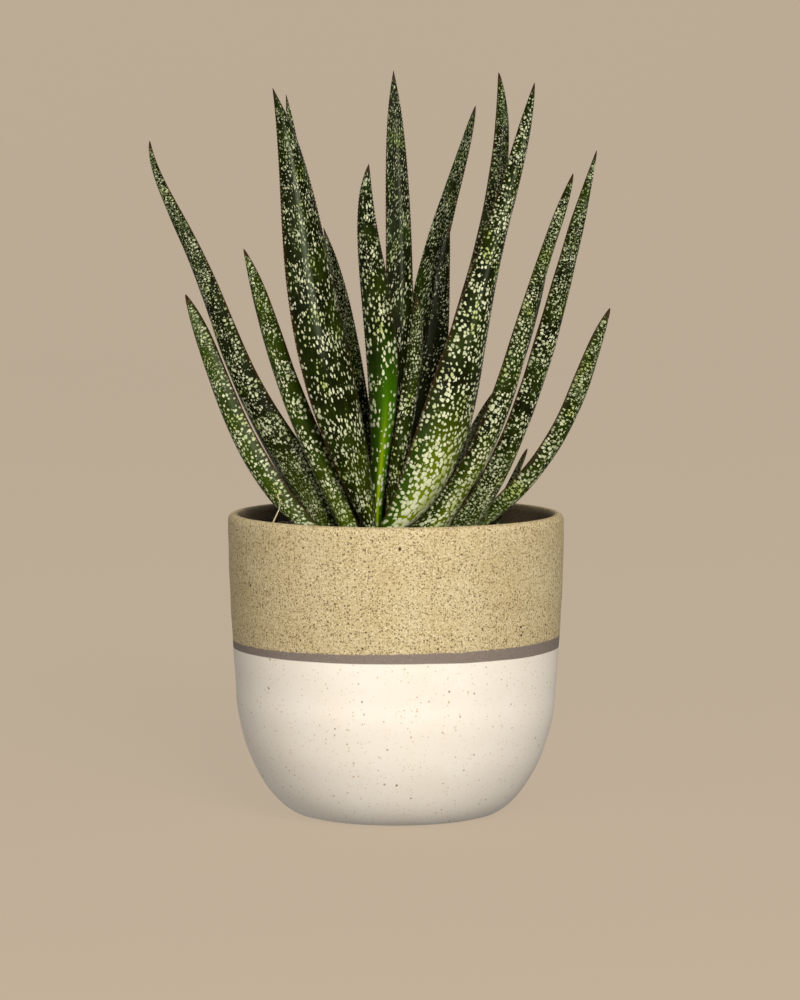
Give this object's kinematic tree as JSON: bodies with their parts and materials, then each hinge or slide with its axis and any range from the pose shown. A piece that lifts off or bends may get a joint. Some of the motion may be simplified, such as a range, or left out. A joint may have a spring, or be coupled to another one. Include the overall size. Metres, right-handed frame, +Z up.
{
  "type": "potted gasteria",
  "caption": "Potted gasteria: long, tapering, pale-spotted succulent leaves on a squat crown in soil, in a rounded stoneware pot with a plain band.",
  "frame": {"origin": "middle of the pot's flat foot, on the surface that it stands on", "axes": "+Z up along the pot's axis; -Y towards the front, the side the picture shows; +X to the right seen from the front"},
  "size_m": [0.19, 0.14, 0.31],
  "materials": {
    "glazed_stoneware": "satin",
    "potting_soil": "matte",
    "crown_flesh": "matte",
    "leaf_flesh": "satin"
  },
  "bodies": {
    "root": {"pot": "glazed_stoneware", "soil": "potting_soil", "crown": "crown_flesh", "leaf_01": "leaf_flesh", "leaf_02": "leaf_flesh", "leaf_03": "leaf_flesh", "leaf_04": "leaf_flesh", "leaf_05": "leaf_flesh", "leaf_06": "leaf_flesh", "leaf_07": "leaf_flesh", "leaf_08": "leaf_flesh", "leaf_09": "leaf_flesh", "leaf_10": "leaf_flesh", "leaf_11": "leaf_flesh", "leaf_12": "leaf_flesh", "leaf_13": "leaf_flesh", "leaf_14": "leaf_flesh", "leaf_15": "leaf_flesh", "leaf_16": "leaf_flesh", "leaf_17": "leaf_flesh", "leaf_18": "leaf_flesh", "leaf_19": "leaf_flesh", "leaf_20": "leaf_flesh", "leaf_21": "leaf_flesh", "leaf_22": "leaf_flesh", "leaf_23": "leaf_flesh"}
  },
  "joints": []
}
